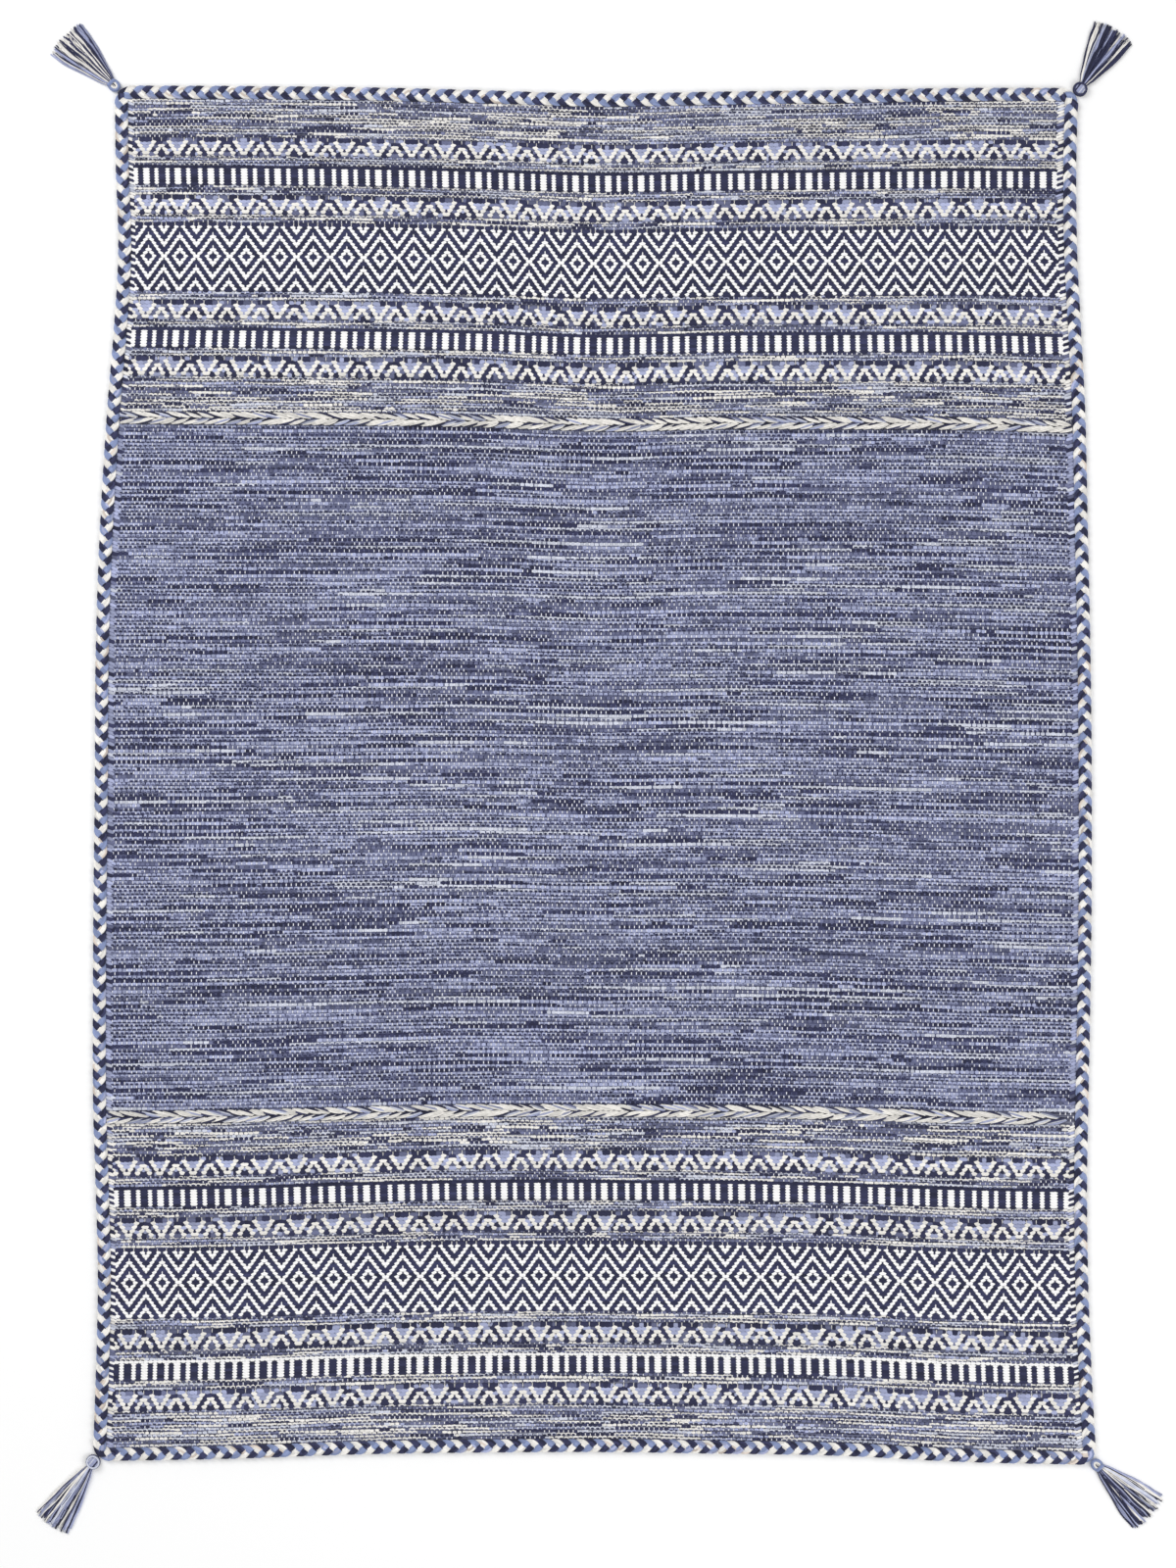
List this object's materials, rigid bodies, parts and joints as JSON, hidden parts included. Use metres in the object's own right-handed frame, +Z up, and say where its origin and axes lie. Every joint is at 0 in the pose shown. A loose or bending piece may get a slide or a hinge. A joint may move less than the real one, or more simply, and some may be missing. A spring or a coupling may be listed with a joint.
{
  "type": "kilim rug",
  "caption": "Flat-woven cotton rug with zigzag, bar and diamond bands at each end, a plaited edging and a tassel at each corner, lying flat.",
  "frame": {"origin": "middle of the rug on its underside, which lies on the floor", "axes": "+Z up out of the floor, +Y along the rug towards the first end, +X across it towards the right selvedge"},
  "size_m": [1.3938, 1.871, 0.0088],
  "materials": {
    "cloth": "matt cotton flat weave, navy, light blue and cream",
    "edging_yarn": "matt cotton yarn, plaited in navy, light blue and cream",
    "tassel_yarn": "matt cotton yarn, navy, light blue and cream"
  },
  "bodies": {
    "root": {"cloth": "cloth", "edging_plait": "edging_yarn", "tassel_top_left": "tassel_yarn", "tassel_top_right": "tassel_yarn", "tassel_bottom_left": "tassel_yarn", "tassel_bottom_right": "tassel_yarn"}
  },
  "joints": []
}
